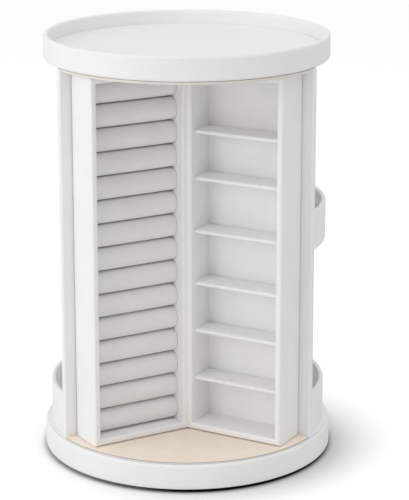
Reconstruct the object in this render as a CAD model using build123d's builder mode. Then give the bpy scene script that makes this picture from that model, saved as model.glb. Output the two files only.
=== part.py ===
from build123d import *
import os
from math import cos, radians, sin, tan

# Rotating jewellery tower. A round base with a ball bearing in it carries a tower of three upright
# boards, 120 degrees apart, between a round floor and a shallow round tray on top. The niche in
# front holds a ring tray and an earring tray. The two niches behind hold pockets and necklace hooks.
# Lengths are in millimetres. Z points up from the surface that the feet stand on, along the axis that
# the tower turns about. X points to the right and Y away from the front.

# Base
base_radius = 130.0
base_ring_width = 18.0
base_panel_thickness = 5.9
base_top_round = 2.6
base_bottom_round = 1.2
leatherette_thickness = 0.9
base_turn_in = 6.0
underlay_clearance = 0.3
foot_height = 2.2
foot_radius = 7.0
foot_inset = 30.0
foot_count = 6
foot_edge_round = 0.5
access_hole_radius = 5.0

# Bearing
ball_circle_radius = 69.0
ball_radius = 2.2
ball_count = 24
ball_clearance = 0.08
race_height = 8.0
race_width = 12.0
race_gap = 1.6
race_step = 0.8
cage_thickness = 0.8
cage_edge_gap = 0.4
race_screw_count = 6

# Screws
screw_radius = 1.5
screw_head_radius = 2.9
screw_head_height = 1.6
screw_tip_length = 2.5
screw_fit = 0.05
outer_screw_length = 10.5
inner_screw_length = 12.5
partition_screw_length = 22.0
partition_screw_offset = 31.0
partition_screw_inset = 15.0

# Turntable
turntable_thickness = 7.2
turntable_clearance = 1.0
floor_inset = 2.4
floor_cover_thickness = 0.6
floor_edge_round = 0.3
running_gap = 0.4

# Suede linings of the front niche, on its floor and under its roof
floor_lining_thickness = 0.5
floor_lining_setback = 0.4
roof_lining_thickness = 2.2
roof_lining_setback = 0.8
roof_lining_round = 0.6
lining_clearance = 0.2

# Upright boards and the post they meet at
board_thickness = 6.0
board_setback = 0.8
board_height = 332.7
board_edge_round = 1.6
post_face_distance = 7.0

# Frames of the ring tray and the earring tray
tray_depth = 36.5
tray_end_setback = 10.8
tray_wall = 5.8
tray_inner_wall = 4.0
tray_back_thickness = 3.0
tray_standoff = 0.8
tray_floor_gap = 0.7
tray_roof_gap = 0.5
tray_seam = 0.06
tray_edge_round = 2.0
tray_back_round = 1.0

# Ring tray
ring_pad_thickness = 3.0
roll_count = 15
roll_recess = 10.0
roll_gap = 1.0
roll_end_gap = 0.1
roll_front_flat = 0.9
roll_back_round = 3.5
roll_end_round = 0.8

# Earring tray
lining_thickness = 2.5
shelf_thickness = 3.2
shelf_recess = 6.2
shelf_edge_round = 1.4
post_hole_radius = 0.8
post_hole_setback = 5.5
post_hole_count = 4

# Top tray
top_tray_inset = 3.8
top_tray_height = 21.3
top_tray_board_thickness = 7.2
top_tray_rim_width = 4.6
top_tray_rim_round = 2.0
top_tray_bottom_round = 3.0
top_tray_turn_in = 17.0
top_tray_mat_thickness = 1.0
mat_clearance = 0.2

# Pockets behind the wings
bin_setback = 3.6
bin_wall = 4.0
bin_seam = 0.1
bin_height = 38.0
bin_rim_round = 1.4
upper_bin_lift = 170.5
upper_bin_height = 34.5
upper_bin_shelf_thickness = 4.0
bin_mat_thickness = 1.5
bin_mat_inner_radius = 20.0

# Necklace hooks
rail_setback = 39.6
rail_width = 8.0
rail_height = 10.0
hook_count = 6
hook_spread_angle = 80.0
hook_wire_radius = 1.0
hook_seat_depth = 5.0
hook_drop = 12.0
hook_bend_radius = 2.9
hook_tip_rise = 3.0
hook_ball_radius = 1.7

# Shares and shared clearances
shelf_height_shares = (0.134, 0.274, 0.412, 0.562, 0.713, 0.845)
cut_overrun = 1.0

# Directions of the wings and of the niches between them, in degrees from X towards Y
left_wing_angle = 210
right_wing_angle = 330
rear_wing_angle = 90
right_niche_angle = 30
front_niche_angle = 270
left_niche_angle = 150
half_niche_angle = 60
right_angle = 90
half_turn_angle = 180

# Levels, from the floor up
underside = foot_height
panel_low = underside + leatherette_thickness
panel_top = panel_low + base_panel_thickness
inner_race_low = panel_top + race_step
inner_race_top = inner_race_low + race_height
ball_level = (panel_top + inner_race_top) / 2
turntable_top = inner_race_top + turntable_thickness
base_top = turntable_top - running_gap
floor_level = turntable_top + floor_cover_thickness
lining_top = floor_level + floor_lining_thickness
roof_top = floor_level + board_height
roof_low = roof_top - roof_lining_thickness
tray_board_low = roof_top + leatherette_thickness
tray_board_top = tray_board_low + top_tray_board_thickness
rim_top = roof_top + top_tray_height

# Radii of the base, the bearing and the tower
recess_radius = base_radius - base_ring_width
core_radius = base_radius - leatherette_thickness
turntable_radius = recess_radius - turntable_clearance
floor_radius = base_radius - floor_inset
board_reach = floor_radius - board_setback
top_tray_radius = base_radius - top_tray_inset
floor_lining_radius = floor_radius - floor_lining_setback
roof_lining_radius = top_tray_radius - roof_lining_setback
tray_hem_radius = top_tray_radius - top_tray_turn_in
bin_radius = floor_radius - bin_setback
rail_radius = floor_radius - rail_setback
outer_race_inside = ball_circle_radius + race_gap / 2
inner_race_outside = ball_circle_radius - race_gap / 2
outer_screw_circle = outer_race_inside + race_width / 2 + screw_radius
inner_screw_circle = inner_race_outside - race_width / 2 - screw_radius

# The tray frames, measured outwards along the wing and away from its middle plane
tray_back_face = board_thickness / 2
tray_front = tray_back_face + tray_depth
tray_outer_end = board_reach - tray_end_setback
tray_inner_end = tray_front * tan(radians(right_angle - half_niche_angle)) + tray_seam / 2
tray_low = lining_top + tray_floor_gap
tray_top = roof_low - tray_roof_gap
cavity_inner_end = tray_inner_end + tray_inner_wall
cavity_outer_end = tray_outer_end - tray_wall
cavity_width = cavity_outer_end - cavity_inner_end
cavity_low = tray_low + tray_wall
cavity_height = tray_top - tray_wall - cavity_low
tray_back_front = tray_back_face + tray_back_thickness

os.makedirs("parts", exist_ok=True)


def save(builder, name):
    builder.part.label = name
    export_step(builder.part, f"parts/{name}.step")


def outward(angle):
    """Unit vector along the floor in the given direction."""
    return Vector(cos(radians(angle)), sin(radians(angle)), 0)


def wing_plane(wing, level):
    """Level plane whose X axis runs out along a wing."""
    return Plane(origin=(0, 0, level), x_dir=outward(wing), z_dir=(0, 0, 1))


def box_on_wing(wing, side, start, end, near, far, low, height, mode=Mode.ADD):
    """Add a block beside a wing: start to end along it, near to far from its middle plane."""
    with BuildSketch(wing_plane(wing, low)) as footprint:
        with Locations(((start + end) / 2, side * (near + far) / 2)):
            Rectangle(end - start, far - near)
    extrude(footprint.sketch, amount=height, mode=mode)


def ring_section(inner, outer, low, high):
    """Add the rectangular section of a round body to the sketch on the XZ plane."""
    with Locations(((inner + outer) / 2, (low + high) / 2)):
        Rectangle(outer - inner, high - low)


def screw_form(length, fit=0.0):
    """Countersunk screw whose head is flush with Z = 0 and whose tip points down."""
    with BuildPart() as form:
        with BuildSketch(Plane.XZ):
            with BuildLine():
                Polyline(
                    (0, 0),
                    (screw_head_radius + fit, 0),
                    (screw_radius + fit, -screw_head_height - fit),
                    (screw_radius + fit, screw_tip_length - length - fit),
                    (0, -length - fit),
                    close=True,
                )
            make_face()
        revolve(axis=Axis.Z)
    return form.part


def screw_circle(radius, count, level, pointing_up):
    """Places of screws on a circle, with their heads at the given level."""
    plane = Plane(origin=(0, 0, level), x_dir=(1, 0, 0), z_dir=(0, 0, -1 if pointing_up else 1))
    return [plane.location * place for place in PolarLocations(radius, count).locations]


def partition_screw_places(wings):
    """Places of the screws into the ends of the boards: from below first, then from above."""
    inner_place = post_face_distance + partition_screw_offset
    outer_place = min(turntable_radius, board_reach) - partition_screw_inset
    places = []
    for wing in wings:
        for distance in (inner_place, outer_place):
            spot = outward(wing) * distance
            places.append(Location((spot.X, spot.Y, inner_race_top), (half_turn_angle, 0, 0)))
            places.append(Location((spot.X, spot.Y, tray_board_top)))
    return places


def niche_wedge(niche, margin):
    """Keep what lies between the boards on both sides of a niche, clear of them by the margin."""
    apex = outward(niche) * ((board_thickness / 2 + margin) / sin(radians(half_niche_angle)))
    corners = [
        apex,
        apex + outward(niche - half_niche_angle) * base_radius * 2,
        apex + outward(niche) * base_radius * 4,
        apex + outward(niche + half_niche_angle) * base_radius * 2,
    ]
    Polygon(*[(corner.X, corner.Y) for corner in corners], align=None, mode=Mode.INTERSECT)


outer_screw_places = screw_circle(outer_screw_circle, race_screw_count, panel_top + race_height, False)
inner_screw_places = screw_circle(inner_screw_circle, race_screw_count, inner_race_low, True)
all_wings = (left_wing_angle, right_wing_angle, rear_wing_angle)

# Base panel, with the screw holes of the bearing and a hole that gives a screwdriver access
with BuildPart() as base_panel:
    with BuildSketch(Plane.XY.offset(panel_low)):
        Circle(core_radius)
        with Locations((inner_screw_circle, 0)):
            Circle(access_hole_radius, mode=Mode.SUBTRACT)
    extrude(amount=base_panel_thickness)
    bottom_rim = base_panel.edges().group_by(Axis.Z)[0].sort_by(SortBy.LENGTH)[-1]
    fillet(bottom_rim, base_bottom_round - leatherette_thickness)
    with Locations(*outer_screw_places):
        add(screw_form(outer_screw_length, screw_fit), mode=Mode.SUBTRACT)
save(base_panel, "base_panel")

with BuildPart() as base_ring:
    with BuildSketch(Plane.XZ):
        ring_section(recess_radius, core_radius, panel_top, base_top - leatherette_thickness)
    revolve(axis=Axis.Z)
    top_rim = base_ring.edges().group_by(Axis.Z)[-1].sort_by(SortBy.LENGTH)[-1]
    fillet(top_rim, base_top_round - leatherette_thickness)
save(base_ring, "base_ring")

# Leatherette of the base: over the ring's top, down its side and turned in below
with BuildPart() as base_cover:
    with BuildSketch(Plane.XZ) as cover_section:
        ring_section(recess_radius, base_radius, underside, base_top)
        outer_corners = cover_section.vertices().group_by(Axis.X)[-1].sort_by(Axis.Y)
        fillet(outer_corners[0], base_bottom_round)
        outer_corners = cover_section.vertices().filter_by_position(Axis.X, core_radius, base_radius)
        fillet(outer_corners.sort_by(Axis.Y)[-1], base_top_round)
        with BuildSketch(mode=Mode.SUBTRACT) as core_section:
            ring_section(recess_radius, core_radius, panel_low, base_top - leatherette_thickness)
            inner_corners = core_section.vertices().group_by(Axis.X)[-1].sort_by(Axis.Y)
            fillet(inner_corners[0], base_bottom_round - leatherette_thickness)
            inner_corners = core_section.vertices().sort_by(Axis.Y)[-2:].sort_by(Axis.X)
            fillet(inner_corners[-1], base_top_round - leatherette_thickness)
        with BuildSketch(mode=Mode.SUBTRACT):
            ring_section(recess_radius, base_radius - base_turn_in, underside, panel_low)
    revolve(axis=Axis.Z)
save(base_cover, "base_cover")

with BuildPart() as base_underlay:
    with BuildSketch(Plane.XY.offset(underside)):
        Circle(base_radius - base_turn_in - underlay_clearance)
    extrude(amount=leatherette_thickness)
save(base_underlay, "base_underlay")

with BuildPart() as rubber_feet:
    with BuildSketch():
        with PolarLocations(base_radius - foot_inset, foot_count, start_angle=half_niche_angle / 2):
            Circle(foot_radius)
    extrude(amount=foot_height)
    fillet(rubber_feet.edges().group_by(Axis.Z)[0], foot_edge_round)
save(rubber_feet, "rubber_feet")

# Bearing: two rings with facing grooves, and balls that hold them together up, down and sideways
with BuildPart() as bearing_outer_ring:
    with BuildSketch(Plane.XZ):
        ring_section(outer_race_inside, outer_race_inside + race_width, panel_top, panel_top + race_height)
        with Locations((ball_circle_radius, ball_level)):
            Circle(ball_radius + ball_clearance, mode=Mode.SUBTRACT)
    revolve(axis=Axis.Z)
    with Locations(*outer_screw_places):
        add(screw_form(outer_screw_length, screw_fit), mode=Mode.SUBTRACT)
save(bearing_outer_ring, "bearing_outer_ring")

with BuildPart() as bearing_inner_ring:
    with BuildSketch(Plane.XZ):
        ring_section(inner_race_outside - race_width, inner_race_outside, inner_race_low, inner_race_top)
        with Locations((ball_circle_radius, ball_level)):
            Circle(ball_radius + ball_clearance, mode=Mode.SUBTRACT)
    revolve(axis=Axis.Z)
    with Locations(*inner_screw_places):
        add(screw_form(inner_screw_length, screw_fit), mode=Mode.SUBTRACT)
save(bearing_inner_ring, "bearing_inner_ring")

with BuildPart() as bearing_balls:
    with Locations((0, 0, ball_level)):
        with PolarLocations(ball_circle_radius, ball_count):
            Sphere(ball_radius)
save(bearing_balls, "bearing_balls")

with BuildPart() as bearing_cage:
    with BuildSketch(Plane.XY.offset(inner_race_low + cage_edge_gap)):
        Circle(ball_circle_radius + cage_thickness / 2)
        Circle(ball_circle_radius - cage_thickness / 2, mode=Mode.SUBTRACT)
    extrude(amount=race_height - race_step - 2 * cage_edge_gap)
    with Locations((0, 0, ball_level)):
        with PolarLocations(ball_circle_radius, ball_count):
            Cylinder(
                ball_radius + ball_clearance,
                cage_thickness + 2 * cut_overrun,
                rotation=(0, right_angle, 0),
                mode=Mode.SUBTRACT,
            )
save(bearing_cage, "bearing_cage")

with BuildPart() as bearing_outer_screws:
    with Locations(*outer_screw_places):
        add(screw_form(outer_screw_length))
save(bearing_outer_screws, "bearing_outer_screws")

with BuildPart() as bearing_inner_screws:
    with Locations(*inner_screw_places):
        add(screw_form(inner_screw_length))
save(bearing_inner_screws, "bearing_inner_screws")

# Turntable board in the recess, and the leatherette sheet that reaches out over the base
with BuildPart() as turntable_board:
    with BuildSketch(Plane.XY.offset(inner_race_top)):
        Circle(turntable_radius)
    extrude(amount=turntable_thickness)
    with Locations(*inner_screw_places):
        add(screw_form(inner_screw_length, screw_fit), mode=Mode.SUBTRACT)
    with Locations(*partition_screw_places(all_wings)):
        add(screw_form(partition_screw_length, screw_fit), mode=Mode.SUBTRACT)
save(turntable_board, "turntable_board")

with BuildPart() as turntable_cover:
    with BuildSketch(Plane.XY.offset(turntable_top)):
        Circle(floor_radius)
    extrude(amount=floor_cover_thickness)
    fillet(turntable_cover.edges().group_by(Axis.Z)[-1], floor_edge_round)
    with Locations(*partition_screw_places(all_wings)):
        add(screw_form(partition_screw_length, screw_fit), mode=Mode.SUBTRACT)
save(turntable_cover, "turntable_cover")

# Suede linings of the front niche: a sheet on the floor, and a covered board under the roof
with BuildPart() as floor_lining:
    with BuildSketch(Plane.XY.offset(floor_level)):
        Circle(floor_lining_radius)
        Circle(2 * post_face_distance, mode=Mode.SUBTRACT)
        niche_wedge(front_niche_angle, lining_clearance)
    extrude(amount=floor_lining_thickness)
save(floor_lining, "floor_lining")

with BuildPart() as roof_lining:
    with BuildSketch(Plane.XY.offset(roof_low)):
        Circle(roof_lining_radius)
        Circle(2 * post_face_distance, mode=Mode.SUBTRACT)
        niche_wedge(front_niche_angle, lining_clearance)
    extrude(amount=roof_lining_thickness)
    front_edges = roof_lining.edges().filter_by(GeomType.CIRCLE).sort_by(Axis.Y)
    fillet(front_edges[:2], roof_lining_round)
save(roof_lining, "roof_lining")

with BuildPart() as partition_screws:
    with Locations(*partition_screw_places(all_wings)):
        add(screw_form(partition_screw_length))
save(partition_screws, "partition_screws")

# Covered post in the middle, with one face for each board
with BuildPart() as centre_post:
    with BuildSketch(Plane.XY.offset(floor_level)):
        RegularPolygon(post_face_distance, 3, major_radius=False, rotation=right_niche_angle)
    extrude(amount=board_height)
save(centre_post, "centre_post")

for wing, name in ((left_wing_angle, "left"), (right_wing_angle, "right"), (rear_wing_angle, "rear")):
    with BuildPart() as partition:
        box_on_wing(
            wing, 1, post_face_distance, board_reach, -board_thickness / 2, board_thickness / 2,
            floor_level, board_height,
        )
        upright_edges = partition.edges().filter_by(Axis.Z).sort_by(Axis((0, 0, 0), outward(wing)))
        fillet(upright_edges[-2:], board_edge_round)
        with Locations(*partition_screw_places((wing,))):
            add(screw_form(partition_screw_length, screw_fit), mode=Mode.SUBTRACT)
    save(partition, f"partition_{name}")

# Frame, back panel and lining of the two trays in the front niche
for wing, side, name in ((left_wing_angle, 1, "ring"), (right_wing_angle, -1, "earring")):
    along, away = (Axis((0, 0, 0), outward(angle)) for angle in (wing, wing + side * right_angle))
    with BuildPart() as tray_frame:
        box_on_wing(
            wing, side, tray_inner_end, tray_outer_end, tray_back_face + tray_standoff, tray_front,
            tray_low, tray_top - tray_low,
        )
        box_on_wing(
            wing, side, cavity_inner_end, cavity_outer_end,
            tray_back_face - cut_overrun, tray_front + cut_overrun,
            cavity_low, cavity_height, mode=Mode.SUBTRACT,
        )
        tray_face = tray_frame.faces().sort_by(away)[-1]
        seam_edge = tray_face.outer_wire().edges().filter_by(Axis.Z).sort_by(along)[0]
        fillet([edge for edge in tray_face.edges() if not edge.is_same(seam_edge)], tray_edge_round)
        fillet(tray_frame.faces().sort_by(away)[0].outer_wire().edges(), tray_back_round)
    save(tray_frame, f"{name}_tray_frame")

    with BuildPart() as tray_back:
        box_on_wing(
            wing, side, cavity_inner_end, cavity_outer_end, tray_back_face, tray_back_front,
            cavity_low, cavity_height,
        )
    save(tray_back, f"{name}_tray_back")

with BuildPart() as ring_tray_pad:
    box_on_wing(
        left_wing_angle, 1, cavity_inner_end, cavity_outer_end,
        tray_back_front, tray_back_front + ring_pad_thickness, cavity_low, cavity_height,
    )
save(ring_tray_pad, "ring_tray_pad")

# Foam rolls of the ring tray: flat at the back, rounded in front, and drawn in at both ends
roll_pitch = cavity_height / roll_count
roll_back = tray_back_front + ring_pad_thickness
roll_front = tray_front - roll_recess
roll_depth = roll_front - roll_back
roll_length = cavity_width - 2 * roll_end_gap
roll_height = roll_pitch - roll_gap
roll_front_round = (roll_height - roll_front_flat) / 2
for number in range(1, roll_count + 1):
    roll_level = cavity_low + (roll_count - number + 0.5) * roll_pitch
    roll_start = outward(left_wing_angle) * (cavity_inner_end + roll_end_gap)
    roll_plane = Plane(
        origin=(roll_start.X, roll_start.Y, roll_level),
        x_dir=outward(left_wing_angle + right_angle),
        z_dir=outward(left_wing_angle),
    )
    with BuildPart() as ring_roll:
        with BuildSketch(roll_plane) as roll_section:
            with Locations(((roll_back + roll_front) / 2, 0)):
                Rectangle(roll_depth, roll_height)
            fillet(roll_section.vertices().group_by(Axis.X)[0], roll_back_round)
            fillet(roll_section.vertices().group_by(Axis.X)[-1], roll_front_round)
        extrude(amount=roll_length)
        ends = ring_roll.faces().sort_by(Axis((0, 0, 0), outward(left_wing_angle)))
        fillet(ends[0].edges() + ends[-1].edges(), roll_end_round)
    save(ring_roll, f"ring_roll_{number:02d}")

earring_side = Axis((0, 0, 0), outward(right_wing_angle - right_angle))
with BuildPart() as earring_tray_lining:
    box_on_wing(
        right_wing_angle, -1, cavity_inner_end, cavity_outer_end,
        tray_back_front, tray_back_front + lining_thickness, cavity_low, cavity_height,
    )
save(earring_tray_lining, "earring_tray_lining")

# Shelves of the earring tray, each with a row of holes near its front edge
shelf_back = tray_back_front + lining_thickness
shelf_front = tray_front - shelf_recess
for number, share in enumerate(shelf_height_shares, start=1):
    shelf_top = cavity_low + cavity_height * share
    with BuildPart() as earring_shelf:
        box_on_wing(
            right_wing_angle, -1, cavity_inner_end, cavity_outer_end, shelf_back, shelf_front,
            shelf_top - shelf_thickness, shelf_thickness,
        )
        front_face = earring_shelf.faces().sort_by(earring_side)[-1]
        fillet(front_face.edges().filter_by(Axis.Z, reverse=True), shelf_edge_round)
        hole_pitch = cavity_width / (post_hole_count + 1)
        hole_row = [
            (cavity_inner_end + hole_pitch * (place + 1), -(shelf_front - post_hole_setback))
            for place in range(post_hole_count)
        ]
        with BuildSketch(wing_plane(right_wing_angle, shelf_top + cut_overrun)):
            with Locations(*hole_row):
                Circle(post_hole_radius)
        extrude(amount=-shelf_thickness - 2 * cut_overrun, mode=Mode.SUBTRACT)
    save(earring_shelf, f"earring_shelf_{number}")

# Top tray: a board with a rim, its leatherette inside and out, and a mat on its floor
rim_inside = top_tray_radius - top_tray_rim_width
core_rim_inside = rim_inside + leatherette_thickness
core_rim_outside = top_tray_radius - leatherette_thickness
with BuildPart() as top_tray_core:
    with BuildSketch(Plane.XY.offset(tray_board_low)):
        Circle(core_rim_outside)
    extrude(amount=rim_top - leatherette_thickness - tray_board_low)
    with BuildSketch(Plane.XY.offset(tray_board_top)):
        Circle(core_rim_inside)
    extrude(amount=top_tray_height, mode=Mode.SUBTRACT)
    fillet(top_tray_core.edges().group_by(Axis.Z)[-1], top_tray_rim_round - leatherette_thickness)
    fillet(top_tray_core.edges().group_by(Axis.Z)[0], top_tray_bottom_round - leatherette_thickness)
    whole_core = top_tray_core.part
    with Locations(*partition_screw_places(all_wings)):
        add(screw_form(partition_screw_length, screw_fit), mode=Mode.SUBTRACT)
save(top_tray_core, "top_tray_core")

with BuildPart() as top_tray_cover:
    with BuildSketch(Plane.XY.offset(roof_top)):
        Circle(top_tray_radius)
    extrude(amount=top_tray_height)
    with BuildSketch(Plane.XY.offset(tray_board_top)):
        Circle(rim_inside)
    extrude(amount=top_tray_height, mode=Mode.SUBTRACT)
    fillet(top_tray_cover.edges().group_by(Axis.Z)[-1], top_tray_rim_round)
    fillet(top_tray_cover.edges().group_by(Axis.Z)[0], top_tray_bottom_round)
    add(whole_core, mode=Mode.SUBTRACT)
    with BuildSketch(Plane.XY.offset(roof_top - cut_overrun)):
        Circle(tray_hem_radius)
    extrude(amount=top_tray_height, mode=Mode.SUBTRACT)
save(top_tray_cover, "top_tray_cover")

with BuildPart() as top_tray_underlay:
    with BuildSketch(Plane.XY.offset(roof_top)):
        Circle(tray_hem_radius - underlay_clearance)
    extrude(amount=leatherette_thickness)
    with Locations(*partition_screw_places(all_wings)):
        add(screw_form(partition_screw_length, screw_fit), mode=Mode.SUBTRACT)
save(top_tray_underlay, "top_tray_underlay")

with BuildPart() as top_tray_mat:
    with BuildSketch(Plane.XY.offset(tray_board_top)):
        Circle(rim_inside - mat_clearance)
    extrude(amount=top_tray_mat_thickness)
save(top_tray_mat, "top_tray_mat")

# Curved pocket walls and their mats
upper_bin_low = floor_level + upper_bin_lift
upper_shelf_top = upper_bin_low + upper_bin_shelf_thickness
bin_inside = bin_radius - bin_wall
for niche, name, wall_low, wall_height, mat_level in (
    (left_niche_angle, "left_bin", floor_level, bin_height, floor_level),
    (right_niche_angle, "right_bin", floor_level, bin_height, floor_level),
    (right_niche_angle, "upper_bin", upper_bin_low, upper_bin_height, upper_shelf_top),
):
    with BuildPart() as pocket_wall:
        with BuildSketch(Plane.XY.offset(wall_low)):
            Circle(bin_radius)
            Circle(bin_inside, mode=Mode.SUBTRACT)
            niche_wedge(niche, 0)
        extrude(amount=wall_height)
        rim_edges = pocket_wall.edges().group_by(Axis.Z)[-1].filter_by(GeomType.CIRCLE)
        fillet(rim_edges, bin_rim_round)
    save(pocket_wall, f"{name}_wall")

    with BuildPart() as pocket_mat:
        with BuildSketch(Plane.XY.offset(mat_level)):
            Circle(bin_inside - mat_clearance)
            Circle(bin_mat_inner_radius, mode=Mode.SUBTRACT)
            niche_wedge(niche, mat_clearance)
        extrude(amount=bin_mat_thickness)
    save(pocket_mat, f"{name}_mat")

with BuildPart() as upper_bin_shelf:
    with BuildSketch(Plane.XY.offset(upper_bin_low)):
        Circle(bin_inside - bin_seam)
        Circle(2 * post_face_distance, mode=Mode.SUBTRACT)
        niche_wedge(right_niche_angle, 0)
    extrude(amount=upper_bin_shelf_thickness)
save(upper_bin_shelf, "upper_bin_shelf")

# Hook rails under the roof of the two niches behind, and hooks whose shanks are glued into them
rail_low = roof_top - rail_height
rear_niches = (left_niche_angle, right_niche_angle)
hook_places = [
    place
    for niche in rear_niches
    for place in PolarLocations(
        rail_radius, hook_count, start_angle=niche - hook_spread_angle / 2,
        angular_range=hook_spread_angle, endpoint=True,
    ).locations
]
with BuildPart() as hook_rails:
    for niche in rear_niches:
        with BuildSketch(Plane.XY.offset(rail_low)):
            Circle(rail_radius + rail_width / 2)
            Circle(rail_radius - rail_width / 2, mode=Mode.SUBTRACT)
            niche_wedge(niche, 0)
        extrude(amount=rail_height)
    with BuildSketch(Plane.XY.offset(rail_low - cut_overrun)):
        with Locations(*hook_places):
            Circle(hook_wire_radius + screw_fit)
    extrude(amount=hook_seat_depth + cut_overrun, mode=Mode.SUBTRACT)
save(hook_rails, "hook_rails")

with BuildPart() as hook_form:
    with BuildLine(Plane.XZ) as hook_path:
        shank = Line((0, hook_seat_depth), (0, -hook_drop))
        bend = JernArc(
            start=shank @ 1, tangent=shank % 1, radius=hook_bend_radius, arc_size=half_turn_angle
        )
        tip = Line(bend @ 1, bend @ 1 + Vector(0, 0, hook_tip_rise))
    with BuildSketch(Plane.XY.offset(hook_seat_depth)):
        Circle(hook_wire_radius)
    sweep()
    with Locations(tip @ 1):
        Sphere(hook_ball_radius)
with BuildPart() as necklace_hooks:
    with Locations((0, 0, rail_low)):
        with Locations(*hook_places):
            add(hook_form.part)
save(necklace_hooks, "necklace_hooks")
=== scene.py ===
from math import radians

import bmesh
import bpy
from mathutils import Matrix, Vector


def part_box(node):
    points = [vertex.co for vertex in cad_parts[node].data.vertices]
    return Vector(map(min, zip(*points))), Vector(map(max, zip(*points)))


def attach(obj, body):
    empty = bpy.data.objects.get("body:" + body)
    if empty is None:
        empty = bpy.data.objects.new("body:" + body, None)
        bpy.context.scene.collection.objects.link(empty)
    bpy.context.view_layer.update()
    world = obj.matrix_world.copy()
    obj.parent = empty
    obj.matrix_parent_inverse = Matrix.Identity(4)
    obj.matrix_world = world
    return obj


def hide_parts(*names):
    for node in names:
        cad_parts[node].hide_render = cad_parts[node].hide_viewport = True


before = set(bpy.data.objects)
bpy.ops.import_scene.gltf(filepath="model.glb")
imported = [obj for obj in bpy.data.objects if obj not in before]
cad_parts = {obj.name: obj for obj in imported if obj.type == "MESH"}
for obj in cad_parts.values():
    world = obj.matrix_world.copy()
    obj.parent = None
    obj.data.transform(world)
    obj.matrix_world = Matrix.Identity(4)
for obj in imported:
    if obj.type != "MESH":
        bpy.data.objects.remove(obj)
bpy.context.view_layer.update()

# Camera
# A long lens 1.7 metres away and higher than the top tray, that looks down on the tower.
# The frame is shifted upwards, so that the base and its shadow are in the picture.
picture_long_side_px = 500
focal_length_px = 1978
camera_distance = 1.719
camera_height = 0.6676
camera_pitch_deg = 14.38
camera_turn_deg = 0.52
rise_in_frame_px = 50

bpy.ops.object.select_all(action="DESELECT")
bpy.ops.object.camera_add(
    location=(0, -camera_distance, camera_height),
    rotation=(radians(90 - camera_pitch_deg), 0, radians(-camera_turn_deg)),
)
camera = bpy.context.object
camera.data.lens = focal_length_px / picture_long_side_px * camera.data.sensor_width
camera.data.shift_y = -rise_in_frame_px / picture_long_side_px
bpy.context.scene.camera = camera
bpy.context.scene.view_settings.view_transform = "Standard"

# Studio
# A white room lights the tower evenly, one large soft lamp stands to the left and one hangs above.
# The floor is white and takes the tower's shadow from the lamps. A painted shadow is added round the
# tower: the floor's brightening for the camera is held back a little to the right and fades within a
# few centimetres, and close under the base the floor's colour is painted nearly black.
room_level = 0.61
side_lamp_size = 2.4
side_lamp_power = 17.5
side_lamp_place = Vector((-1.8, -0.9, 0.9))
top_lamp_size = 1.6
top_lamp_power = 8.5
top_lamp_place = Vector((0.5, -0.5, 2.2))
lamp_aim = Vector((0, 0, 0.2))
studio_floor_size = 30.0
studio_floor_colour = (0.93, 0.93, 0.93, 1)
studio_floor_seen = (0.77, 0.77, 0.77, 1)
studio_floor_lift = (0.47, 0.47, 0.47, 1)
# A painted soft shadow: round this point the floor's brightening for the camera is held back.
painted_shadow_middle = (0.017, -0.0105, 0)
painted_shadow_start = 0.1187
painted_shadow_end = 0.196
# A nearly black painted shadow in the floor's colour, close under the base.
painted_contact_shadow_colour = (0.02, 0.02, 0.02, 1)
painted_contact_shadow_middle = (-0.0005, -0.0015, 0)
painted_contact_shadow_start = 0.1275
painted_contact_shadow_end = 0.137


def emptied(material):
    """The nodes and links of a material or world, with nothing in them yet."""
    material.use_nodes = True
    material.node_tree.nodes.clear()
    return material.node_tree.nodes, material.node_tree.links


def ranged(nodes, links, source, start, end, at_start, at_end):
    """A value between start and end, brought into the range between the last two numbers."""
    made = nodes.new("ShaderNodeMapRange")
    for name, number in (
        ("From Min", start), ("From Max", end), ("To Min", at_start), ("To Max", at_end)
    ):
        made.inputs[name].default_value = number
    links.new(source, made.inputs["Value"])
    return made.outputs[0]


def sum_of(nodes, links, operation, first, second):
    """The result of a sum on two values, each of them a plain number or another node's."""
    made = nodes.new("ShaderNodeMath")
    made.operation = operation
    for value, socket in zip((first, second), made.inputs):
        if isinstance(value, (int, float)):
            socket.default_value = value
        else:
            links.new(value, socket)
    return made.outputs[0]


def blended(nodes, links, share, first, second):
    """The first colour, and the second where the share is 1."""
    made = nodes.new("ShaderNodeMix")
    made.data_type = "RGBA"
    links.new(share, made.inputs["Factor"])
    for colour, socket in ((first, made.inputs["A"]), (second, made.inputs["B"])):
        if isinstance(colour, tuple):
            socket.default_value = colour
        else:
            links.new(colour, socket)
    return made.outputs["Result"]


def lamp(place, size, power):
    """A round soft lamp that looks at the tower."""
    bpy.ops.object.light_add(type="AREA", location=place)
    made = bpy.context.object
    made.data.shape = "DISK"
    made.data.size = size
    made.data.energy = power
    made.rotation_euler = (lamp_aim - place).to_track_quat("-Z", "Y").to_euler()


lamp(side_lamp_place, side_lamp_size, side_lamp_power)
lamp(top_lamp_place, top_lamp_size, top_lamp_power)

room = bpy.data.worlds.new("white_room")
bpy.context.scene.world = room
nodes, links = emptied(room)
light_path = nodes.new("ShaderNodeLightPath")
background = nodes.new("ShaderNodeBackground")
world_output = nodes.new("ShaderNodeOutputWorld")
direct = light_path.outputs["Is Camera Ray"]
for kind in ("Is Glossy Ray", "Is Transmission Ray"):
    direct = sum_of(nodes, links, "MAXIMUM", direct, light_path.outputs[kind])
background.inputs["Color"].default_value = (1, 1, 1, 1)
links.new(ranged(nodes, links, direct, 0, 1, room_level, 1), background.inputs["Strength"])
links.new(background.outputs[0], world_output.inputs["Surface"])

bpy.ops.mesh.primitive_plane_add(size=studio_floor_size, location=(0, 0, 0))
studio_floor = bpy.context.object
studio_floor.name = "studio_floor"


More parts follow.
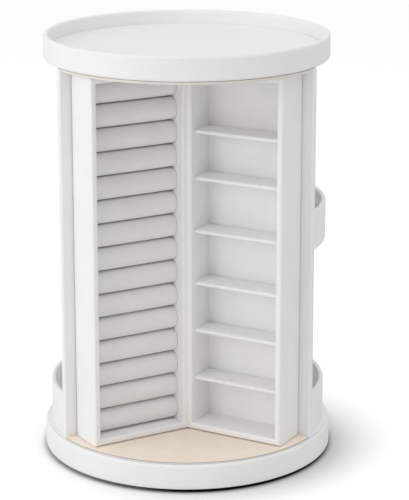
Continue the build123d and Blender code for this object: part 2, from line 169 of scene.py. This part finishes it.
def painted_shadow_strength(nodes, links, middle, start, end):
    """The strength of a painted shadow: one near a point and nothing far from it, falling fast at
    first between the two distances.
    """
    place = nodes.new("ShaderNodeTexCoord")
    distance = nodes.new("ShaderNodeVectorMath")
    distance.operation = "DISTANCE"
    distance.inputs[1].default_value = middle
    links.new(place.outputs["Object"], distance.inputs[0])
    level = ranged(nodes, links, distance.outputs["Value"], start, end, 1, 0)
    return sum_of(nodes, links, "POWER", level, 2)


floor_paint = bpy.data.materials.new("floor_paint")
nodes, links = emptied(floor_paint)
light_path = nodes.new("ShaderNodeLightPath")
matt = nodes.new("ShaderNodeBsdfDiffuse")
lift = nodes.new("ShaderNodeEmission")
both = nodes.new("ShaderNodeAddShader")
floor_output = nodes.new("ShaderNodeOutputMaterial")
camera_ray = light_path.outputs["Is Camera Ray"]
painted_contact_shadow = painted_shadow_strength(nodes, links, painted_contact_shadow_middle, painted_contact_shadow_start, painted_contact_shadow_end)
painted_soft_shadow = painted_shadow_strength(nodes, links, painted_shadow_middle, painted_shadow_start, painted_shadow_end)
outside_painted_shadow = sum_of(nodes, links, "SUBTRACT", 1, painted_soft_shadow)
tone = blended(nodes, links, camera_ray, studio_floor_colour, studio_floor_seen)
lift.inputs["Color"].default_value = studio_floor_lift
# Close under the base the floor's colour is painted nearly black, as a painted contact shadow.
links.new(blended(nodes, links, painted_contact_shadow, tone, painted_contact_shadow_colour), matt.inputs["Color"])
# The floor's brightening for the camera is held back round the tower, as a painted soft shadow.
links.new(sum_of(nodes, links, "MULTIPLY", camera_ray, outside_painted_shadow), lift.inputs["Strength"])
links.new(matt.outputs[0], both.inputs[0])
links.new(lift.outputs[0], both.inputs[1])
links.new(both.outputs[0], floor_output.inputs["Surface"])
studio_floor.data.materials.append(floor_paint)

# Base cover
# White leatherette, a cloth with a coated face of fine grain and satin gloss. It is pulled over the
# base ring, turned in above and below, and its two ends are butted at the rear.
leatherette_shade = (0.885, 0.885, 0.881)
leatherette_white = (0.905, 0.905, 0.901)
leatherette_cloud = 0.035
leatherette_grain = 0.0011
leatherette_grain_height = 0.00004
leatherette_roughness = (0.44, 0.54)
leatherette_gloss = 0.35
butt_seam_width = 0.0004
butt_seam_depth = 0.0002
butt_seam_start = 0.003
butt_seam_colour = (0.52, 0.51, 0.50, 1)
tint_start = 0.35
tint_end = 0.65
noise_start = 0.3
noise_end = 0.7


def noise(nodes, links, place, size, detail=2):
    """Noise whose blotches are about the given size in metres."""
    made = nodes.new("ShaderNodeTexNoise")
    made.inputs["Scale"].default_value = 1 / size
    made.inputs["Detail"].default_value = detail
    links.new(place.outputs["Object"], made.inputs["Vector"])
    return made.outputs["Fac"]


def tinted(nodes, links, source, dark, light):
    """Colour that runs from dark to light with a texture's value."""
    ramp = nodes.new("ShaderNodeValToRGB")
    for stop, position, colour in zip(
        ramp.color_ramp.elements, (tint_start, tint_end), (dark, light)
    ):
        stop.position = position
        stop.color = (*colour, 1)
    links.new(source, ramp.inputs["Fac"])
    return ramp.outputs["Color"]


def raised(nodes, links, source, height, under=None):
    """Bump of a height in metres, on top of another bump."""
    made = nodes.new("ShaderNodeBump")
    made.inputs["Distance"].default_value = height
    links.new(source, made.inputs["Height"])
    if under:
        links.new(under, made.inputs["Normal"])
    return made.outputs["Normal"]


def leatherette(name, seam_at=None):
    """The white leatherette. On a round piece it has a seam at the rear, from this far back."""
    material = bpy.data.materials.new(name)
    nodes, links = emptied(material)
    place = nodes.new("ShaderNodeTexCoord")
    shader = nodes.new("ShaderNodeBsdfPrincipled")
    out = nodes.new("ShaderNodeOutputMaterial")
    clouds = noise(nodes, links, place, leatherette_cloud)
    colour = tinted(nodes, links, clouds, leatherette_shade, leatherette_white)
    grain = nodes.new("ShaderNodeTexVoronoi")
    grain.feature = "DISTANCE_TO_EDGE"
    grain.inputs["Scale"].default_value = 1 / leatherette_grain
    links.new(place.outputs["Object"], grain.inputs["Vector"])
    surface = raised(nodes, links, grain.outputs["Distance"], leatherette_grain_height)
    if seam_at:
        split = nodes.new("ShaderNodeSeparateXYZ")
        links.new(place.outputs["Object"], split.inputs[0])
        off_centre = sum_of(nodes, links, "ABSOLUTE", split.outputs["X"], 0)
        in_seam = sum_of(nodes, links, "LESS_THAN", off_centre, butt_seam_width / 2)
        behind = sum_of(nodes, links, "GREATER_THAN", split.outputs["Y"], seam_at)
        seam = sum_of(nodes, links, "MULTIPLY", in_seam, behind)
        colour = blended(nodes, links, seam, colour, butt_seam_colour)
        surface = raised(nodes, links, seam, -butt_seam_depth, surface)
    links.new(colour, shader.inputs["Base Color"])
    roughness = ranged(nodes, links, clouds, noise_start, noise_end, *leatherette_roughness)
    links.new(roughness, shader.inputs["Roughness"])
    links.new(surface, shader.inputs["Normal"])
    shader.inputs["Specular IOR Level"].default_value = leatherette_gloss
    links.new(shader.outputs[0], out.inputs["Surface"])
    return material


def finish_nodes(material, *names):
    """Give CAD nodes a material."""
    for name in names:
        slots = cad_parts[name].data.materials
        slots.clear()
        slots.append(material)


plain_leatherette = leatherette("plain_leatherette")
base_leatherette = leatherette("base_leatherette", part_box("base_cover")[1].y - butt_seam_start)
finish_nodes(base_leatherette, "base_cover")

# Panel and ring of the base
# Sawn and turned fibreboard, brown, with short fibres and cut edges that are a little rough. The ring
# is glued on the panel, round the recess for the bearing.
fibreboard_dark = (0.34, 0.20, 0.10)
fibreboard_light = (0.43, 0.27, 0.15)
cloth_roughness = (0.82, 0.98)
cloth_gloss = 0.15
sheen_spread = 0.5


def cloth_like(name, dark, light, fibre, cloud, nap_height, sheen):
    """A matt, fibrous finish: broad clouds of tone, and a fine nap of the given fibre size."""
    material = bpy.data.materials.new(name)
    nodes, links = emptied(material)
    place = nodes.new("ShaderNodeTexCoord")
    shader = nodes.new("ShaderNodeBsdfPrincipled")
    out = nodes.new("ShaderNodeOutputMaterial")
    clouds = noise(nodes, links, place, cloud, detail=3)
    nap = noise(nodes, links, place, fibre, detail=4)
    links.new(tinted(nodes, links, clouds, dark, light), shader.inputs["Base Color"])
    roughness = ranged(nodes, links, nap, noise_start, noise_end, *cloth_roughness)
    links.new(roughness, shader.inputs["Roughness"])
    links.new(raised(nodes, links, nap, nap_height), shader.inputs["Normal"])
    shader.inputs["Sheen Weight"].default_value = sheen
    shader.inputs["Sheen Roughness"].default_value = sheen_spread
    shader.inputs["Specular IOR Level"].default_value = cloth_gloss
    links.new(shader.outputs[0], out.inputs["Surface"])
    return material


fibreboard = cloth_like(
    "fibreboard", fibreboard_dark, fibreboard_light,
    fibre=0.0009, cloud=0.012, nap_height=0.0001, sheen=0,
)
finish_nodes(fibreboard, "base_panel", "base_ring")

# Felt under the base
# A disc of dark grey felt, punched from the sheet and glued to the panel inside the turned-in edge of
# the leatherette. Its cut edge is soft, and the feet are glued to it.
felt_dark = (0.10, 0.10, 0.105)
felt_light = (0.15, 0.15, 0.155)
felt_edge_round = 0.0003
disc_sides = 128
disc_rings = 4
edge_steps = 3
smooth_below_deg = 40
facing = 0.99


def edit(piece):
    """Go into edit mode on this piece alone, with nothing of its mesh selected."""
    bpy.ops.object.select_all(action="DESELECT")
    piece.select_set(True)
    bpy.context.view_layer.objects.active = piece
    bpy.ops.object.mode_set(mode="EDIT")
    bpy.ops.mesh.select_all(action="DESELECT")


def pick_faces(piece, wanted):
    """Select the faces whose middle and normal are wanted, and no others."""
    bpy.ops.mesh.select_mode(type="FACE")
    bpy.ops.mesh.select_all(action="DESELECT")
    shape = bmesh.from_edit_mesh(piece.data)
    for face in shape.faces:
        if wanted(face.calc_center_median(), face.normal):
            face.select_set(True)
    bmesh.update_edit_mesh(piece.data)


def pick_edges(piece, wanted):
    """Select the edges whose two ends are wanted, and no others."""
    bpy.ops.mesh.select_mode(type="EDGE")
    bpy.ops.mesh.select_all(action="DESELECT")
    shape = bmesh.from_edit_mesh(piece.data)
    for edge in shape.edges:
        if wanted(edge.verts[0].co, edge.verts[1].co):
            edge.select_set(True)
    bmesh.update_edit_mesh(piece.data)


def done(piece, name, material):
    """Leave edit mode, fix the piece's place in its mesh, name it, finish it and shade it smooth."""
    bpy.ops.object.mode_set(mode="OBJECT")
    bpy.ops.object.transform_apply(location=True, rotation=True, scale=True)
    bpy.ops.object.shade_smooth_by_angle(angle=radians(smooth_below_deg))
    piece.name = name
    piece.data.name = name
    piece.data.materials.clear()
    piece.data.materials.append(material)


def disc(node, name, material, edge_round):
    """A round sheet in the place of a CAD disc, with a soft edge and an even mesh."""
    low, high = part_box(node)
    radius = (high.x - low.x) / 2
    middle_z = (low.z + high.z) / 2
    bpy.ops.mesh.primitive_cylinder_add(
        vertices=disc_sides, radius=radius, depth=high.z - low.z, location=(0, 0, middle_z)
    )
    piece = bpy.context.object
    edit(piece)
    pick_edges(piece, lambda a, b: abs(a.z - b.z) < edge_round)
    bpy.ops.mesh.bevel(offset=edge_round, segments=edge_steps, affect="EDGES")
    pick_faces(
        piece, lambda middle, normal: abs(normal.z) > facing and middle.xy.length < radius / 2
    )
    for _ in range(disc_rings):
        bpy.ops.mesh.inset(thickness=radius / (disc_rings + 2))
    done(piece, name, material)
    return piece


grey_felt = cloth_like(
    "grey_felt", felt_dark, felt_light, fibre=0.0012, cloud=0.011, nap_height=0.00012, sheen=0.1
)
underlay = disc("base_underlay", "felt_underlay", grey_felt, felt_edge_round)
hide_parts("base_underlay")
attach(underlay, "base")

# Rubber feet
# Six low pads of black rubber, punched from a sheet and glued under the base.
rubber_black = (0.02, 0.02, 0.02)
scratch_size = 0.003
scratch_depth = 0.00003
worn_share = 0.92
roughness_spread = 0.2


def polished(name, colour, roughness, metal):
    """Metal, rubber or plastic with fine scratches."""
    material = bpy.data.materials.new(name)
    nodes, links = emptied(material)
    place = nodes.new("ShaderNodeTexCoord")
    shader = nodes.new("ShaderNodeBsdfPrincipled")
    out = nodes.new("ShaderNodeOutputMaterial")
    marks = noise(nodes, links, place, scratch_size, detail=5)
    worn = [part * worn_share for part in colour]
    smooth, rough = roughness * (1 - roughness_spread), roughness * (1 + roughness_spread)
    uneven = ranged(nodes, links, marks, noise_start, noise_end, smooth, rough)
    links.new(tinted(nodes, links, marks, worn, colour), shader.inputs["Base Color"])
    links.new(uneven, shader.inputs["Roughness"])
    links.new(raised(nodes, links, marks, scratch_depth), shader.inputs["Normal"])
    shader.inputs["Metallic"].default_value = metal
    links.new(shader.outputs[0], out.inputs["Surface"])
    return material


finish_nodes(polished("black_rubber", rubber_black, roughness=0.7, metal=0), "rubber_feet")

# Ball bearing
# Two turned steel rings with facing grooves, a nylon cage with twenty-four steel balls, and screws
# that hold the outer ring to the base's panel and the inner ring to the turntable board.
steel_grey = (0.62, 0.62, 0.63)
nylon_white = (0.75, 0.75, 0.72)
bright_steel = polished("bright_steel", steel_grey, roughness=0.3, metal=1)
finish_nodes(bright_steel, "bearing_outer_ring", "bearing_inner_ring", "bearing_balls")
finish_nodes(bright_steel, "bearing_outer_screws", "bearing_inner_screws")
finish_nodes(polished("white_nylon", nylon_white, roughness=0.45, metal=0), "bearing_cage")

# Turntable board and its cover
# A disc of fibreboard in the base's recess, screwed to the bearing. The sheet of leatherette on it
# reaches out over the base and hides the gap round the board.
finish_nodes(fibreboard, "turntable_board")
finish_nodes(plain_leatherette, "turntable_cover")

# Suede linings of the front niche
# Beige cloth with a suede face. On the floor it is a die-cut sheet, whose cut edge shows as a fine
# brown line along the front. Under the roof it is pulled over a thin board, of which the edge shows.
suede_dark = (0.925, 0.805, 0.69)
suede_light = (0.955, 0.845, 0.73)
suede_edge_brown = (0.36, 0.29, 0.22, 1)
suede_edge_width = 0.0003
suede_edge_round = 0.00015
weld = 0.00001
straight_deg = 1
roof_suede_dark = (0.74, 0.70, 0.65)
roof_suede_light = (0.80, 0.765, 0.72)


def suede(name, dark, light, edge_radius=None):
    """Cloth with a suede face. With an edge radius, it has a brown cut edge further out."""
    material = cloth_like(
        name, dark, light, fibre=0.0007, cloud=0.02, nap_height=0.00008, sheen=0.1
    )
    if not edge_radius:
        return material
    nodes, links = material.node_tree.nodes, material.node_tree.links
    place = next(node for node in nodes if node.bl_idname == "ShaderNodeTexCoord")
    shader = next(node for node in nodes if node.bl_idname == "ShaderNodeBsdfPrincipled")
    flat = nodes.new("ShaderNodeVectorMath")
    flat.operation = "MULTIPLY"
    flat.inputs[1].default_value = (1, 1, 0)
    distance = nodes.new("ShaderNodeVectorMath")
    distance.operation = "LENGTH"
    links.new(place.outputs["Object"], flat.inputs[0])
    links.new(flat.outputs["Vector"], distance.inputs[0])
    at_edge = sum_of(nodes, links, "GREATER_THAN", distance.outputs["Value"], edge_radius)
    base_colour = shader.inputs["Base Color"]
    face_colour = base_colour.links[0].from_socket
    links.new(blended(nodes, links, at_edge, face_colour, suede_edge_brown), base_colour)
    return material


def die_cut(node, name, edge_round, material):
    """A sheet of a CAD sheet's outline, with its upper edge pressed round, laid on a piece."""
    piece = bpy.data.objects.new(name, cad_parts[node].data.copy())
    bpy.context.collection.objects.link(piece)
    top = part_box(node)[1].z
    edit(piece)
    bpy.ops.mesh.select_all(action="SELECT")
    bpy.ops.mesh.remove_doubles(threshold=weld)
    bpy.ops.mesh.dissolve_limited(angle_limit=radians(straight_deg))
    pick_edges(piece, lambda a, b: min(a.z, b.z) > top - weld)
    bpy.ops.mesh.bevel(offset=edge_round, segments=edge_steps, affect="EDGES")
    done(piece, name, material)
    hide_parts(node)
    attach(piece, "tower")


floor_edge = -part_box("floor_lining")[0].y - suede_edge_width
floor_suede = suede("beige_suede", suede_dark, suede_light, floor_edge)
die_cut(
    "floor_lining", "suede_floor", suede_edge_round, floor_suede
)
finish_nodes(suede("roof_suede", roof_suede_dark, roof_suede_light), "roof_lining")

# Upright boards
# Three boards covered in leatherette, glued to a covered three-sided post and screwed to the
# turntable below and to the top tray above with countersunk steel screws.
finish_nodes(plain_leatherette, "partition_left", "partition_right", "partition_rear", "centre_post")
finish_nodes(bright_steel, "partition_screws")

# Frames of the two trays
# Mitred frames covered in leatherette, each with a back panel, glued to the faces of the boards. They
# meet in the middle, where their rounded edges make one pale column.
finish_nodes(plain_leatherette, "ring_tray_frame", "ring_tray_back")
finish_nodes(plain_leatherette, "earring_tray_frame", "earring_tray_back")

# Velvet pad and ring rolls
# Foam rolls wrapped in pale grey velvet stand one above another against a velvet pad. Rings are
# pushed into the gaps. The velvet is drawn tight, so each roll swells between its ends.
velvet_shade = (0.825, 0.818, 0.813)
velvet_grey = (0.845, 0.838, 0.833)
left_wing_deg = 210
roll_shrink = 0.0002
roll_end_play = 0.00005
roll_front_round_share = 0.47
roll_front_steps = 12
roll_back_round = 0.0035
roll_back_steps = 6
roll_end_round = 0.0004
roll_end_insets = (0.001, 0.0015)
roll_held_end = 0.001
roll_cuts = 24
roll_pressure = 60.0
roll_swell = 0.0002
cloth_mass = 0.004
cloth_steps = 20
pad_tuck = 0.0004
pad_crown_width = 0.004
crown_steps = (0.65, 0.35)


def velvet(name, dark, light):
    """Short-piled cloth with a soft sheen."""
    return cloth_like(name, dark, light, fibre=0.0006, cloud=0.02, nap_height=0.0001, sheen=0.3)


def wing_box(node, wing_deg):
    """Lowest and highest corner of a CAD node, along a wing, across it and upwards."""
    turned_back = Matrix.Rotation(-radians(wing_deg), 3, "Z")
    places = [turned_back @ vertex.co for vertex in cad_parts[node].data.vertices]
    return tuple(
        Vector([pick(place[k] for place in places) for k in range(3)]) for pick in (min, max)
    )


def block(low, high):
    """A box between two corners, ready for edit mode."""
    bpy.ops.mesh.primitive_cube_add(size=1, location=(low + high) / 2, scale=high - low)
    piece = bpy.context.object
    bpy.ops.object.transform_apply(location=True, rotation=True, scale=True)
    edit(piece)
    return piece


def turn_to_wing(piece, wing_deg):
    """Turn a piece that lies along X onto its wing."""
    piece.rotation_euler.z = radians(wing_deg)


def crowned(piece, side, rise, width):
    """Pad the picked faces: each rises in two steps from its edges, away from the wing."""
    for step in crown_steps:
        bpy.ops.mesh.inset(thickness=width / 2, use_individual=True)
        bpy.ops.transform.translate(value=(0, side * rise * step, 0))


def swollen(piece, held, pressure, most):
    """Puff up a closed cover between its held points, with no point moved further than a distance."""
    cover = piece.vertex_groups.new(name="held")
    cover.add([v.index for v in piece.data.vertices if held(v.co)], 1.0, "REPLACE")
    start = [vertex.co.copy() for vertex in piece.data.vertices]
    cloth = piece.modifiers.new("cover", "CLOTH")
    cloth.settings.mass = cloth_mass
    cloth.settings.vertex_group_mass = cover.name
    cloth.settings.use_pressure = True
    cloth.settings.uniform_pressure_force = pressure
    cloth.settings.effector_weights.gravity = 0
    for step in range(1, cloth_steps + 1):
        bpy.context.scene.frame_set(step)
    bpy.ops.object.modifier_apply(modifier=cloth.name)
    bpy.context.scene.frame_set(1)
    for vertex, place in zip(piece.data.vertices, start):
        moved = vertex.co - place
        if moved.length > most:
            vertex.co = place + moved.normalized() * most
    piece.vertex_groups.clear()


grey_velvet = velvet("grey_velvet", velvet_shade, velvet_grey)

low, high = wing_box("ring_tray_pad", left_wing_deg)
high.y -= pad_tuck
ring_pad = block(low, high)
pick_faces(ring_pad, lambda middle, normal: normal.y > facing)
crowned(ring_pad, 1, pad_tuck, pad_crown_width)
turn_to_wing(ring_pad, left_wing_deg)
done(ring_pad, "velvet_ring_pad", grey_velvet)
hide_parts("ring_tray_pad")
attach(ring_pad, "tower")

roll_names = sorted(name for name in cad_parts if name.startswith("ring_roll_"))
low, high = wing_box(roll_names[0], left_wing_deg)
shrink = Vector((roll_end_play, roll_shrink, roll_shrink))
low, high = low + shrink, high - shrink
roll_middle = (low + high) / 2
roll = block(low, high)
pick_edges(roll, lambda a, b: min(a.y, b.y) > roll_middle.y and abs(a.z - b.z) < roll_shrink)
front_round = (high.z - low.z) * roll_front_round_share
bpy.ops.mesh.bevel(offset=front_round, segments=roll_front_steps, affect="EDGES")
pick_edges(
    roll, lambda a, b: max(a.y, b.y) < low.y + roll_shrink and abs(a.z - b.z) < roll_shrink
)
bpy.ops.mesh.bevel(offset=roll_back_round, segments=roll_back_steps, affect="EDGES")
pick_edges(roll, lambda a, b: abs(a.x - b.x) < roll_shrink)
bpy.ops.mesh.bevel(offset=roll_end_round, segments=edge_steps, affect="EDGES")
pick_faces(roll, lambda middle, normal: abs(normal.x) > facing)
for inset in roll_end_insets:
    bpy.ops.mesh.inset(thickness=inset, use_individual=True)
for cut in range(1, roll_cuts):
    bpy.ops.mesh.select_all(action="SELECT")
    cut_x = low.x + (high.x - low.x) * cut / roll_cuts
    bpy.ops.mesh.bisect(plane_co=(cut_x, 0, 0), plane_no=(1, 0, 0))
bpy.ops.object.mode_set(mode="OBJECT")
free_low, free_high = low.x + roll_held_end, high.x - roll_held_end
swollen(roll, lambda place: not free_low < place.x < free_high, roll_pressure, roll_swell)
turn_to_wing(roll, left_wing_deg)
done(roll, "velvet_roll_01", grey_velvet)

roll_home = (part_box(roll_names[0])[0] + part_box(roll_names[0])[1]) / 2
for name in reversed(roll_names):
    if name == roll_names[0]:
        placed = roll
    else:
        placed = roll.copy()
        placed.data = roll.data.copy()
        placed.name = placed.data.name = name.replace("ring", "velvet")
        bpy.context.collection.objects.link(placed)
        low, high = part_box(name)
        placed.data.transform(Matrix.Translation((low + high) / 2 - roll_home))
    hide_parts(name)
    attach(placed, "tower")

# Earring tray lining
# Velvet on thin foam, glued to the back panel between the shelves. It is tucked in along the shelves
# and the frame, so that it stands proud in the middle of each compartment.
lining_shade = (0.915, 0.912, 0.907)
lining_white = (0.935, 0.932, 0.927)
right_wing_deg = 330
lining_tuck = 0.0006
lining_crown_width = 0.006
shelf_names = sorted(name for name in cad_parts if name.startswith("earring_shelf_"))

white_velvet = velvet("white_velvet", lining_shade, lining_white)
low, high = wing_box("earring_tray_lining", right_wing_deg)
low.y += lining_tuck
lining = block(low, high)
for name in shelf_names:
    for height in (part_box(name)[0].z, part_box(name)[1].z):
        bpy.ops.mesh.select_all(action="SELECT")
        bpy.ops.mesh.bisect(plane_co=(0, 0, height), plane_no=(0, 0, 1))
shelf_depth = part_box(shelf_names[0])[1].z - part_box(shelf_names[0])[0].z
shelf_middles = [(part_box(name)[0].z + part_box(name)[1].z) / 2 for name in shelf_names]
pick_faces(
    lining,
    lambda middle, normal: normal.y < -facing
    and all(abs(middle.z - shelf) > shelf_depth for shelf in shelf_middles),
)
crowned(lining, -1, lining_tuck, lining_crown_width)
turn_to_wing(lining, right_wing_deg)
done(lining, "velvet_lining", white_velvet)
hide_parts("earring_tray_lining")
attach(lining, "tower")

# Earring shelves
# Six thin boards wrapped in a paler, thicker velvet, with rounded front edges and a row of holes for
# the posts and hooks of earrings. They are glued into the tray at different distances.
shelf_velvet_shade = (0.90, 0.897, 0.892)
shelf_velvet_white = (0.94, 0.937, 0.932)
pale_velvet = cloth_like(
    "pale_velvet", shelf_velvet_shade, shelf_velvet_white,
    fibre=0.0009, cloud=0.007, nap_height=0.0003, sheen=0.4,
)
finish_nodes(pale_velvet, *shelf_names)

# Top tray
# A fibreboard body with a low rim, covered in leatherette inside and out, whose ends are butted at
# the rear. A sheet closes it below, and a mat of leatherette on thin card hides the screws inside.
tray_mat_edge_round = 0.0004
finish_nodes(fibreboard, "top_tray_core")
tray_leatherette = leatherette("tray_leatherette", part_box("top_tray_cover")[1].y - butt_seam_start)
finish_nodes(tray_leatherette, "top_tray_cover")
finish_nodes(plain_leatherette, "top_tray_underlay")
tray_mat = disc("top_tray_mat", "tray_floor_mat", plain_leatherette, tray_mat_edge_round)
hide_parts("top_tray_mat")
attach(tray_mat, "tower")

# Pockets behind the wings
# Bent board walls covered in leatherette, glued between the upright boards: two on the floor, and one
# at half height on a shelf. A cut velvet mat lies in each, with a pressed edge.
pocket_mat_edge_round = 0.0005
finish_nodes(plain_leatherette, "upper_bin_shelf")
for pocket, under in (
    ("left", "turntable_cover"), ("right", "turntable_cover"), ("upper", "upper_bin_shelf")
):
    mat, mat_name = f"{pocket}_bin_mat", f"{pocket}_pocket_mat"
    finish_nodes(plain_leatherette, f"{pocket}_bin_wall")
    die_cut(mat, mat_name, pocket_mat_edge_round, grey_velvet)

# Necklace hooks
# Rails covered in leatherette under the roof of the two niches behind, with six hooks of gold-plated
# wire in each, and a small ball on every tip.
gold_yellow = (0.83, 0.62, 0.30)
finish_nodes(plain_leatherette, "hook_rails")
gold_plating = polished("gold_plating", gold_yellow, roughness=0.18, metal=1)
finish_nodes(gold_plating, "necklace_hooks")
